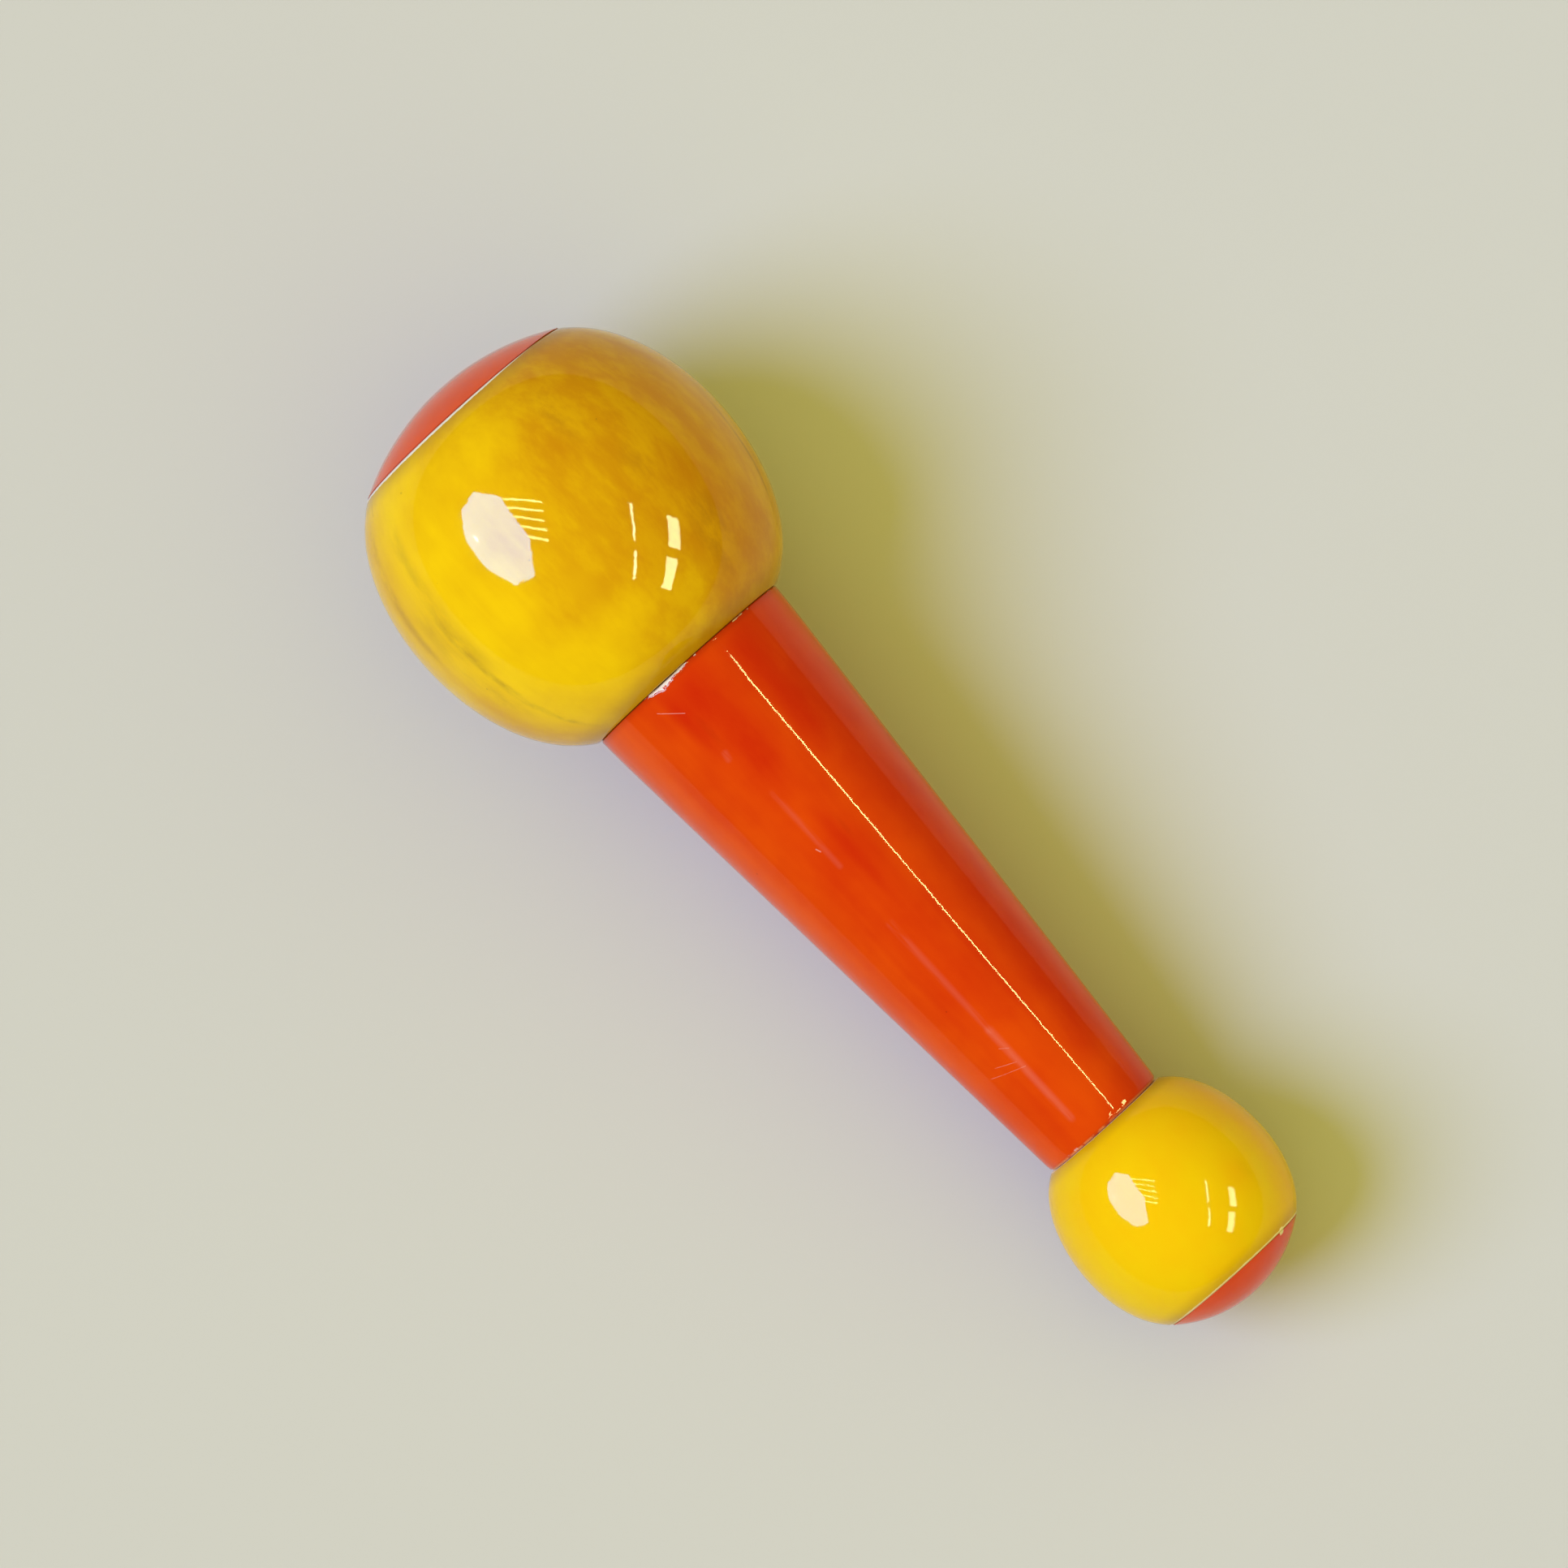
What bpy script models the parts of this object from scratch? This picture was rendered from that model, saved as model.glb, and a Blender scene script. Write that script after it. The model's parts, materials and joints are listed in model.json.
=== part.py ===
# Wooden ball rattle: two hollow turned balls on a tapered handle, with loose pellets in both balls.
# Metres, +Z up. The rattle lies on its two balls, with the large ball towards +X.

import math
from collections import namedtuple

import bmesh
import bpy
from mathutils import Matrix, Vector

MM = 0.001

# The handle and the small ball are turned from one size of round stock.
STOCK_RADIUS = 15.5 * MM

# Large ball. Heights are measured along the axis from its widest section.
LARGE_RADIUS = 26.1 * MM
LARGE_SEAM = 21.5 * MM               # height of the rim that the cap sits on
LARGE_RIM_RADIUS = 17.0 * MM         # outer radius of that rim
LARGE_RIM_WIDTH = 4.0 * MM
LARGE_NECK = 5.0 * MM                # depth of the straight bore inside the rim
LARGE_CAP_RISE = 4.3 * MM            # of the cap's dome above its shoulder
LARGE_SEAT = 22.7 * MM               # depth of the flat that the handle meets
LARGE_WALL = 6.5 * MM
LARGE_TENON_RADIUS = 6.5 * MM
LARGE_TENON_LENGTH = 6.5 * MM
LARGE_PELLET_RADIUS = 3.0 * MM

# Small ball, measured the same way.
SMALL_SKIM = 0.1 * MM                # turned off the stock where the ball is widest
SMALL_RADIUS = STOCK_RADIUS - SMALL_SKIM
SMALL_SEAM = 11.6 * MM
SMALL_RIM_RADIUS = 11.0 * MM
SMALL_RIM_WIDTH = 3.5 * MM
SMALL_NECK = 3.5 * MM
SMALL_CAP_RISE = 3.7 * MM
SMALL_SEAT = 13.85 * MM
SMALL_WALL = 4.6 * MM
SMALL_TENON_RADIUS = 4.5 * MM
SMALL_TENON_LENGTH = 5.0 * MM
SMALL_PELLET_RADIUS = 2.5 * MM

# Handle, between its two shoulders.
HANDLE_LENGTH = 81.3 * MM
HANDLE_LARGE_RADIUS = STOCK_RADIUS
HANDLE_SMALL_RADIUS = 9.25 * MM

# Shared by both balls.
FULLNESS = 3.2                       # 2 would be a true ellipse; above it the ball is fuller
SEAT_OVERHANG = 0.25 * MM            # of a ball's seat round the handle's shoulder
SOCKET_FLOOR = 2.0 * MM              # wood left between a tenon's socket and the chamber
CAP_STEP = 0.1 * MM                  # the caps stand in from the balls at the seam
EDGE = 0.15 * MM                     # broken edges of rims, seats and shoulders
LEAD_IN = 0.7 * MM                   # chamfers on tenons, sockets and spigots
GAP = 0.3 * MM                       # glue line, and the play round every pellet

# Finishes, in linear colour
YELLOW_LACQUER = (0.86, 0.55, 0.004)
ORANGE_RED_LACQUER = (0.72, 0.065, 0.004)
BARE_HARDWOOD = (0.55, 0.36, 0.19)
LACQUER_ROUGHNESS = 0.12
BARE_ROUGHNESS = 0.6

# Facets
TURNED_SIDES = 48
OUTLINE_STEPS = 14
CHAMBER_STEPS = 10
CAP_STEPS = 7
PELLET_SEGMENTS = 12
PELLET_RINGS = 8

# Searches for the resting tilt and for the pellets' places
STEEPEST_TILT = math.radians(30)
SEARCH_STEPS = 60

SMOOTH_ANGLE = math.radians(30)
MERGE_DISTANCE = 0.01 * MM

Ball = namedtuple("Ball", "radius seam rim rim_width neck rise seat seat_radius wall tenon tenon_length"
                          " pellet ring_pellets middle_pellets")

LARGE_BALL = Ball(radius=LARGE_RADIUS, seam=LARGE_SEAM, rim=LARGE_RIM_RADIUS, rim_width=LARGE_RIM_WIDTH,
                  neck=LARGE_NECK, rise=LARGE_CAP_RISE, seat=LARGE_SEAT,
                  seat_radius=HANDLE_LARGE_RADIUS + SEAT_OVERHANG, wall=LARGE_WALL,
                  tenon=LARGE_TENON_RADIUS, tenon_length=LARGE_TENON_LENGTH,
                  pellet=LARGE_PELLET_RADIUS, ring_pellets=6, middle_pellets=1)
SMALL_BALL = Ball(radius=SMALL_RADIUS, seam=SMALL_SEAM, rim=SMALL_RIM_RADIUS, rim_width=SMALL_RIM_WIDTH,
                  neck=SMALL_NECK, rise=SMALL_CAP_RISE, seat=SMALL_SEAT,
                  seat_radius=HANDLE_SMALL_RADIUS + SEAT_OVERHANG, wall=SMALL_WALL,
                  tenon=SMALL_TENON_RADIUS, tenon_length=SMALL_TENON_LENGTH,
                  pellet=SMALL_PELLET_RADIUS, ring_pellets=3, middle_pellets=0)

# Places of the balls' widest sections along the axis, which starts at the handle's large shoulder
# and runs towards the large cap.
LARGE_PLACE = GAP + LARGE_SEAT
SMALL_PLACE = -(HANDLE_LENGTH + GAP + SMALL_SEAT)


def closing_height(widest, radius, height):
    """Where a full-bodied round closes on its axis, if it has this radius at this height."""
    return height / math.sqrt(1 - (radius / widest) ** FULLNESS)


def full_round(widest, top_reach, bottom_reach, top, bottom, steps):
    """Points (radius, height) down one side of a full-bodied round, between two heights."""
    first = math.asin(top / top_reach)
    last = math.asin(bottom / bottom_reach)
    points = []
    for step in range(steps + 1):
        angle = first + (last - first) * step / steps
        reach = top_reach if angle > 0 else bottom_reach
        points.append((widest * max(0.0, math.cos(angle)) ** (2 / FULLNESS), reach * math.sin(angle)))
    return points


def ball_outline(ball):
    """The ball's outer surface, from the rim's broken edge down to the seat's."""
    top_reach = closing_height(ball.radius, ball.rim, ball.seam)
    bottom_reach = closing_height(ball.radius, ball.seat_radius, ball.seat)
    return full_round(ball.radius, top_reach, bottom_reach, ball.seam - EDGE, EDGE - ball.seat, OUTLINE_STEPS)


def cap_dome(ball):
    """An arc from the cap's tip down to its edge."""
    edge = ball.rim - GAP - CAP_STEP
    rise = ball.rise - EDGE
    tip = ball.seam + GAP + ball.rise
    sphere = (edge ** 2 + rise ** 2) / (2 * rise)
    half_angle = math.asin(edge / sphere)
    angles = [half_angle * step / CAP_STEPS for step in range(CAP_STEPS + 1)]
    return [(sphere * math.sin(angle), tip - sphere * (1 - math.cos(angle))) for angle in angles]


def mouth_radius(ball):
    return ball.rim - ball.rim_width


def socket_depth(ball):
    return ball.tenon_length + GAP


def spigot_end(ball):
    """Height of the cap's inner face, just short of the chamber."""
    return ball.seam - ball.neck + GAP


def chamber_floor(ball):
    """Height of the chamber's deepest point, on the handle side."""
    return -(ball.seat - socket_depth(ball) - SOCKET_FLOOR)


def chamber_outline(ball):
    """The hollow, from the foot of the mouth's bore down to its floor on the axis."""
    widest = ball.radius - ball.wall
    foot = ball.seam - ball.neck
    floor = chamber_floor(ball)
    top_reach = closing_height(widest, mouth_radius(ball), foot)
    points = full_round(widest, top_reach, -floor, foot, floor, CHAMBER_STEPS)
    points[-1] = (0.0, floor)
    return points


def shell_profile(ball):
    """From the chamber's floor up to the mouth, over the rim, down the outside and into the socket."""
    mouth = mouth_radius(ball)
    socket = ball.tenon + GAP
    roof = socket_depth(ball) - ball.seat
    profile = list(reversed(chamber_outline(ball)))
    profile += [(mouth, ball.seam - LEAD_IN), (mouth + LEAD_IN, ball.seam), (ball.rim - EDGE, ball.seam)]
    profile += ball_outline(ball)
    profile += [(ball.seat_radius - EDGE, -ball.seat), (socket + LEAD_IN, -ball.seat)]
    profile += [(socket, LEAD_IN - ball.seat), (socket, roof), (0.0, roof)]
    return profile


def cap_profile(ball):
    """The dome, its shoulder on the rim and the spigot in the mouth."""
    shoulder = ball.seam + GAP
    spigot = mouth_radius(ball) - GAP
    end = spigot_end(ball)
    profile = cap_dome(ball)
    edge = profile[-1][0]
    profile += [(edge - EDGE, shoulder), (spigot, shoulder), (spigot, end + LEAD_IN)]
    profile += [(spigot - LEAD_IN, end), (0.0, end)]
    return profile


def handle_profile():
    """Large tenon, shoulder, straight taper, shoulder and small tenon."""
    taper = (HANDLE_LARGE_RADIUS - HANDLE_SMALL_RADIUS) / HANDLE_LENGTH
    large_end = GAP + LARGE_TENON_LENGTH
    small_end = -(HANDLE_LENGTH + GAP + SMALL_TENON_LENGTH)
    profile = [(0.0, large_end), (LARGE_TENON_RADIUS - LEAD_IN, large_end)]
    profile += [(LARGE_TENON_RADIUS, large_end - LEAD_IN), (LARGE_TENON_RADIUS, 0.0)]
    profile += [(HANDLE_LARGE_RADIUS - EDGE, 0.0), (HANDLE_LARGE_RADIUS - EDGE * taper, -EDGE)]
    profile += [(HANDLE_SMALL_RADIUS + EDGE * taper, EDGE - HANDLE_LENGTH)]
    profile += [(HANDLE_SMALL_RADIUS - EDGE, -HANDLE_LENGTH), (SMALL_TENON_RADIUS, -HANDLE_LENGTH)]
    profile += [(SMALL_TENON_RADIUS, small_end + LEAD_IN), (SMALL_TENON_RADIUS - LEAD_IN, small_end)]
    profile += [(0.0, small_end)]
    return profile


def finish(name, colour, roughness):
    material = bpy.data.materials.new(name)
    material.use_nodes = True
    shader = material.node_tree.nodes["Principled BSDF"]
    shader.inputs["Base Color"].default_value = (*colour, 1.0)
    shader.inputs["Roughness"].default_value = roughness
    shader.inputs["Metallic"].default_value = 0.0
    material.diffuse_color = (*colour, 1.0)
    return material


def turned(name, profile, place, flipped, parent, material, collection):
    """A piece turned about its own Z axis, set on the lathe axis at its place."""
    mesh = bpy.data.meshes.new(name)
    vertices = [(radius, 0.0, height) for radius, height in profile]
    edges = [(index, index + 1) for index in range(len(profile) - 1)]
    mesh.from_pydata(vertices, edges, [])
    mesh.materials.append(material)
    piece = bpy.data.objects.new(name, mesh)
    collection.objects.link(piece)
    screw = piece.modifiers.new("Turn", 'SCREW')
    screw.axis = 'Z'
    screw.steps = TURNED_SIDES
    screw.render_steps = TURNED_SIDES
    screw.use_merge_vertices = True
    screw.merge_threshold = MERGE_DISTANCE

    # The turned mesh takes the profile's place, so that only its true edges stay sharp.
    depsgraph = bpy.context.evaluated_depsgraph_get()
    piece.data = bpy.data.meshes.new_from_object(piece.evaluated_get(depsgraph))
    piece.data.name = name
    piece.modifiers.clear()
    piece.data.shade_smooth()
    piece.data.set_sharp_from_angle(angle=SMOOTH_ANGLE)
    bpy.data.meshes.remove(mesh)

    # Half a facet of turn sets a flat of the round, not an edge, on the floor.
    piece.parent = parent
    piece.location = (0.0, 0.0, place)
    piece.rotation_euler = (math.pi if flipped else 0.0, 0.0, math.pi / TURNED_SIDES)
    return piece


def pellet(name, radius, centre, material, collection):
    mesh = bpy.data.meshes.new(name)
    shape = bmesh.new()
    bmesh.ops.create_uvsphere(shape, u_segments=PELLET_SEGMENTS, v_segments=PELLET_RINGS, radius=radius)
    shape.to_mesh(mesh)
    shape.free()
    mesh.shade_smooth()
    mesh.materials.append(material)
    piece = bpy.data.objects.new(name, mesh)
    collection.objects.link(piece)
    piece.location = centre
    return piece


def resting_pose():
    """Tilt of the axis, and the place of its start, for a rattle that lies on both balls."""
    flat = math.cos(math.pi / TURNED_SIDES)
    large = shell_profile(LARGE_BALL) + cap_dome(LARGE_BALL)
    small = shell_profile(SMALL_BALL) + cap_dome(SMALL_BALL)
    large = [(flat * radius, LARGE_PLACE + height) for radius, height in large]
    small = [(flat * radius, SMALL_PLACE - height) for radius, height in small]

    def lowest(points, tilt):
        return min(place * math.sin(tilt) - radius * math.cos(tilt) for radius, place in points)

    flattest = 0.0
    steepest = STEEPEST_TILT
    for _ in range(SEARCH_STEPS):
        tilt = (flattest + steepest) / 2
        if lowest(large, tilt) < lowest(small, tilt):
            flattest = tilt
        else:
            steepest = tilt
    far = max(place * math.cos(tilt) + radius * math.sin(tilt) for radius, place in large)
    near = min(place * math.cos(tilt) - radius * math.sin(tilt) for radius, place in small)
    return tilt, Vector((-(far + near) / 2, 0.0, -lowest(large, tilt)))


def distance_to_walls(walls, radius, height):
    """Least distance from a point inside a chamber to its outline."""
    point = Vector((radius, height))
    nearest = math.inf
    for start, end in zip(walls, walls[1:]):
        start = Vector(start)
        run = Vector(end) - start
        share = min(1.0, max(0.0, (point - start).dot(run) / run.length_squared))
        nearest = min(nearest, (point - start - run * share).length)
    return nearest


def lane_offsets(ball):
    """Upright lanes side by side: one in the middle, if there is one, and a ring of them."""
    spacing = 2 * ball.pellet + GAP
    ring_radius = spacing / (2 * math.sin(math.pi / ball.ring_pellets))
    offsets = [Vector((0.0, 0.0, 0.0))] * ball.middle_pellets
    for index in range(ball.ring_pellets):
        bearing = math.tau * (index + 0.5) / ball.ring_pellets      # alike on both sides of the axis
        offsets.append(Vector((ring_radius * math.cos(bearing), ring_radius * math.sin(bearing), 0.0)))
    return offsets


def pellet_lanes(ball, frame, place, cap_direction):
    """Each pellet's centre at rest on the chamber's wall, and its travel straight up to the roof."""
    inner_face = spigot_end(ball)
    walls = [(0.0, inner_face), (mouth_radius(ball), inner_face)] + chamber_outline(ball)
    axis = frame.to_3x3() @ Vector((0.0, 0.0, cap_direction))
    widest = frame @ Vector((0.0, 0.0, place))
    middle = widest + axis * (inner_face + chamber_floor(ball)) / 2

    def is_free(point):
        from_widest = point - widest
        height = from_widest.dot(axis)
        radius = (from_widest - axis * height).length
        return distance_to_walls(walls, radius, height) >= ball.pellet + GAP

    def furthest(start, reach):
        inside = 0.0
        outside = reach
        for _ in range(SEARCH_STEPS):
            trial = (inside + outside) / 2
            if is_free(start + Vector((0.0, 0.0, trial))):
                inside = trial
            else:
                outside = trial
        return inside

    lanes = []
    for offset in lane_offsets(ball):
        start = middle + offset
        down = furthest(start, -ball.radius)
        up = furthest(start, ball.radius)
        lanes.append((start + Vector((0.0, 0.0, down)), up - down))
    return lanes


def main():
    for old in list(bpy.data.objects):
        bpy.data.objects.remove(old, do_unlink=True)
    collection = bpy.data.collections.new("wooden_ball_rattle")
    bpy.context.scene.collection.children.link(collection)

    yellow = finish("yellow_lacquer", YELLOW_LACQUER, LACQUER_ROUGHNESS)
    orange = finish("orange_red_lacquer", ORANGE_RED_LACQUER, LACQUER_ROUGHNESS)
    bare = finish("bare_hardwood", BARE_HARDWOOD, BARE_ROUGHNESS)

    tilt, start = resting_pose()
    axis = bpy.data.objects.new("lathe_axis", None)
    collection.objects.link(axis)
    axis.location = start
    axis.rotation_euler = (0.0, math.pi / 2 - tilt, 0.0)
    frame = Matrix.Translation(start) @ axis.rotation_euler.to_matrix().to_4x4()

    turned("handle", handle_profile(), 0.0, False, axis, orange, collection)
    for size, ball, place, flipped in (("large", LARGE_BALL, LARGE_PLACE, False),
                                       ("small", SMALL_BALL, SMALL_PLACE, True)):
        turned(f"{size}_ball_shell", shell_profile(ball), place, flipped, axis, yellow, collection)
        turned(f"{size}_ball_cap", cap_profile(ball), place, flipped, axis, orange, collection)
        cap_direction = -1.0 if flipped else 1.0
        for number, (centre, travel) in enumerate(pellet_lanes(ball, frame, place, cap_direction), start=1):
            name = f"{size}_pellet_{number}"
            pellet(name, ball.pellet, centre, bare, collection)
            print(name, [round(value, 5) for value in centre], "travel", round(travel, 5))
    print("tilt", round(math.degrees(tilt), 3), "axis start", [round(value, 5) for value in start])


main()
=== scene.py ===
# Looks of the wooden ball rattle: lacquered balls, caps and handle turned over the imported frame, loose beads
# inside them, a plain pale floor and soft studio light.

import json
import math

import bmesh
import bpy
from mathutils import Euler, Matrix, Vector, noise


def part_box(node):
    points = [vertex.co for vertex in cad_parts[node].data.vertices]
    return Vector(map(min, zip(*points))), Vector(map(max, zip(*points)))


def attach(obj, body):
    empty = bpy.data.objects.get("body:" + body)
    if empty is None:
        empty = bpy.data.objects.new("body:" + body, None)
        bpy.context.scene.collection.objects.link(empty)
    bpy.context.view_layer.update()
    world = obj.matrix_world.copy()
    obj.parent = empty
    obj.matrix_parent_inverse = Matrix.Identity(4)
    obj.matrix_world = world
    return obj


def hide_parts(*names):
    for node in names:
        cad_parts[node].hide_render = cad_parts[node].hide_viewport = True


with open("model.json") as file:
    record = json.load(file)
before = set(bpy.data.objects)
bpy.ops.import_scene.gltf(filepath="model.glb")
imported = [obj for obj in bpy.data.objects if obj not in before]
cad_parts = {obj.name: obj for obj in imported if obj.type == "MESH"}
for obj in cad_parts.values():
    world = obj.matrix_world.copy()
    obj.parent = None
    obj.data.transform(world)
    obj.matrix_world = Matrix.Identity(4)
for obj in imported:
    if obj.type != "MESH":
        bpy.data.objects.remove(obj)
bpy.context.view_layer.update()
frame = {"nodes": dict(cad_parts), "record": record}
mm = 0.001
print("frame loaded:", len(frame["nodes"]), "nodes")

# the lathe axis: local Z runs to the large cap, local X up, and bearings turn from X to Y
grip = frame["record"]["mounts"][0]
latheAxis = Vector(grip["axis"]).normalized()
latheUp = (Vector((0, 0, 1)) - latheAxis * latheAxis.z).normalized()
latheSide = latheAxis.cross(latheUp)
latheTurn = Matrix((latheUp, latheSide, latheAxis)).transposed().to_4x4()
handleLength = grip["dims"]["length_mm"]
shoulder = Vector(grip["pos_m"]) + latheAxis * handleLength / 2 * mm

lathe = {
    "pole": 1e-6,          # a ring thinner than this, in millimetres, closes to a point
    "crease": 50,          # edges that turn more than this, in degrees, stay sharp
}

# fits shared by the turned pieces, in millimetres
fits = {
    "glueGap": 0.3,        # left in the frame between glued pieces
    "seamGap": 0.02,       # what shows of it at a cap's seam
    "shoulderGap": 0.06,   # and at the handle's shoulders
    "leadIn": 0.7,         # chamfers on tenons, sockets and spigots
    "socketFloor": 2.0,    # wood between a socket and the chamber
    "brokenEdge": 0.18,    # on the rim, beside the cap
    "seatEdge": 0.08,      # on the seat, beside the handle
    "capEdge": 0.1,        # on the cap, beside the rim
    "easing": 0.3,         # shares of those edges at the middle of their rounds
    "rimEasing": (0.2, 0.5),
    "fullness": 3.2,       # 2 would be a true ellipse
}
roundSteps = {"chamber": 24, "outside": 120, "cap": 48, "largeArris": 6, "smallArris": 10}


def closingHeight(widest, radius, height):
    return height / math.sqrt(1 - (radius / widest) ** fits["fullness"])


def fullRound(widest, topReach, bottomReach, top, bottom, steps):
    first = math.asin(top / topReach)
    last = math.asin(bottom / bottomReach)
    points = []
    for step in range(steps + 1):
        angle = first + (last - first) * step / steps
        reach = topReach if angle > 0 else bottomReach
        points.append((widest * max(0, math.cos(angle)) ** (2 / fits["fullness"]), reach * math.sin(angle)))
    return points


def roundedCorner(radius, height, size, fromTop, steps):
    # a quarter round at an outer corner, from the end face to the side or back
    points = []
    for step in range(steps + 1):
        angle = math.pi / 2 * step / steps
        if fromTop:
            points.append((radius - size + size * math.sin(angle), height - size + size * math.cos(angle)))
        else:
            points.append((radius - size + size * math.cos(angle), height + size - size * math.sin(angle)))
    return points


def turnOnLathe(name, profile, sides, place, capSide=1, chip=None):
    # profile: (radius, height) from pole to pole in millimetres; chip moves points and says how bare they are
    points = []
    bareness = []
    rings = []
    for radius, height in profile:
        ring = []
        for side in range(1 if radius < lathe["pole"] else sides):
            bearing = math.tau * side / sides
            out, along, bare = chip(radius, height, bearing) if chip else (radius, height, 0)
            ring.append(len(points))
            points.append((out * math.cos(bearing) * mm, out * math.sin(bearing) * mm, along * capSide * mm))
            bareness.append(bare)
        rings.append(ring)
    faces = []
    for ring, nextRing in zip(rings, rings[1:]):
        for side in range(sides):
            corners = [ring[side % len(ring)], ring[(side + 1) % len(ring)]]
            corners += [nextRing[(side + 1) % len(nextRing)], nextRing[side % len(nextRing)]]
            faces.append(list(dict.fromkeys(corners)))
    mesh = bpy.data.meshes.new(name)
    mesh.from_pydata(points, [], faces)
    mesh.attributes.new("bareWood", 'FLOAT', 'POINT').data.foreach_set("value", bareness)
    shape = bmesh.new()
    shape.from_mesh(mesh)
    bmesh.ops.recalc_face_normals(shape, faces=shape.faces)
    shape.to_mesh(mesh)
    shape.free()
    mesh.shade_smooth()
    mesh.set_sharp_from_angle(angle=math.radians(lathe["crease"]))
    piece = bpy.data.objects.new(name, mesh)
    bpy.context.scene.collection.objects.link(piece)
    piece.matrix_world = Matrix.Translation(shoulder + latheAxis * place * mm) @ latheTurn
    return piece


# shader helpers

def addNode(tree, kind, values=None, **settings):
    made = tree.nodes.new(kind)
    for key, value in settings.items():
        setattr(made, key, value)
    for key, value in (values or {}).items():
        made.inputs[key].default_value = value
    return made


def join(tree, output, target):
    tree.links.new(output, target)


def mathNode(tree, operation, first, second=None, third=None):
    made = addNode(tree, "ShaderNodeMath", operation=operation)
    for socket, value in zip(made.inputs, (first, second, third)):
        if isinstance(value, (int, float)):
            socket.default_value = value
        elif value is not None:
            join(tree, value, socket)
    return made.outputs[0]


def vectorNode(tree, operation, first, second=None, scale=None):
    made = addNode(tree, "ShaderNodeVectorMath", operation=operation)
    for socket, value in zip(made.inputs, (first, second)):
        if isinstance(value, tuple):
            socket.default_value = value
        elif value is not None:
            join(tree, value, socket)
    if scale is not None:
        join(tree, scale, made.inputs["Scale"])
    return made.outputs["Value"] if operation in ('DOT_PRODUCT', 'DISTANCE') else made.outputs["Vector"]


def smoothStep(tree, value, low, high):
    made = addNode(tree, "ShaderNodeMapRange", interpolation_type='SMOOTHSTEP')
    for socket, source in zip(made.inputs, (value, low, high)):
        if isinstance(source, (int, float)):
            socket.default_value = source
        else:
            join(tree, source, socket)
    return made.outputs[0]


def noiseNode(tree, vector, scale, detail, roughness=0.5):
    made = addNode(tree, "ShaderNodeTexNoise", {"Scale": scale, "Detail": detail, "Roughness": roughness})
    join(tree, vector, made.inputs["Vector"])
    return made.outputs["Fac"]


def separated(tree, vector):
    made = addNode(tree, "ShaderNodeSeparateXYZ")
    join(tree, vector, made.inputs[0])
    return made.outputs


def mixColour(tree, factor, first, second):
    made = addNode(tree, "ShaderNodeMix", data_type='RGBA')
    sockets = (made.inputs[0], made.inputs[6], made.inputs[7])   # the factor and the two colours
    for socket, value in zip(sockets, (factor, first, second)):
        if isinstance(value, tuple):
            socket.default_value = (*value, 1.0)
        else:
            join(tree, value, socket)
    return made.outputs[2]


def newGroup(name, inputs, outputs):
    # inputs: a vector, then numbers with their usual values
    tree = bpy.data.node_groups.new(name, 'ShaderNodeTree')
    tree.interface.new_socket(name="Vector", in_out='INPUT', socket_type='NodeSocketVector')
    for label, value in inputs.items():
        socket = tree.interface.new_socket(name=label, in_out='INPUT', socket_type='NodeSocketFloat')
        socket.default_value = value
    for label in outputs:
        tree.interface.new_socket(name=label, in_out='OUTPUT', socket_type='NodeSocketFloat')
    return tree, tree.nodes.new("NodeGroupInput").outputs, tree.nodes.new("NodeGroupOutput").inputs


def useGroup(tree, group, vector, **values):
    made = addNode(tree, "ShaderNodeGroup", node_tree=group)
    join(tree, vector, made.inputs["Vector"])
    for key, value in values.items():
        if isinstance(value, (int, float)):
            made.inputs[key].default_value = value
        else:
            join(tree, value, made.inputs[key])
    return made.outputs


# grain of the wood under the lacquer, drawn out along the lathe axis
# noises: scale, detail, roughness; edges: where a noise starts to show and where it is full
grainLook = {
    "scale": 120.0, "stretch": 9.0,
    "streakNoise": (1.0, 4.0, 0.6), "streakEdges": (0.38, 0.72),
    "mottleNoise": (0.7, 3.0, 0.55), "mottleEdges": (0.35, 0.7),
    "fibreNoise": (7.0, 2.0, 0.6),
    "patchNoise": (1.0, 5.0, 0.68), "patchEdges": (0.34, 0.66), "patchStretch": (2.2, 2.2, 0.8),
    "wanderNoise": (0.8, 2.0), "wanderReach": 0.4,
}
grain, grainIn, grainOut = newGroup("grain", {"Scale": grainLook["scale"], "Stretch": grainLook["stretch"]},
                                    ["Streaks", "Mottle", "Fibres", "Patches", "Wander"])
grainScale = addNode(grain, "ShaderNodeCombineXYZ")
join(grain, grainIn["Scale"], grainScale.inputs["X"])
join(grain, grainIn["Scale"], grainScale.inputs["Y"])
join(grain, mathNode(grain, 'DIVIDE', grainIn["Scale"], grainIn["Stretch"]), grainScale.inputs["Z"])
drawnOut = vectorNode(grain, 'MULTIPLY', grainIn["Vector"], grainScale.outputs[0])
evenly = vectorNode(grain, 'SCALE', grainIn["Vector"], scale=grainIn["Scale"])
halfDrawn = vectorNode(grain, 'MULTIPLY', evenly, grainLook["patchStretch"])
streakNoise = noiseNode(grain, drawnOut, *grainLook["streakNoise"])
mottleNoise = noiseNode(grain, evenly, *grainLook["mottleNoise"])
patchNoise = noiseNode(grain, halfDrawn, *grainLook["patchNoise"])
wanderNoise = noiseNode(grain, evenly, *grainLook["wanderNoise"])
join(grain, smoothStep(grain, streakNoise, *grainLook["streakEdges"]), grainOut["Streaks"])
join(grain, smoothStep(grain, mottleNoise, *grainLook["mottleEdges"]), grainOut["Mottle"])
join(grain, noiseNode(grain, drawnOut, *grainLook["fibreNoise"]), grainOut["Fibres"])
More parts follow.
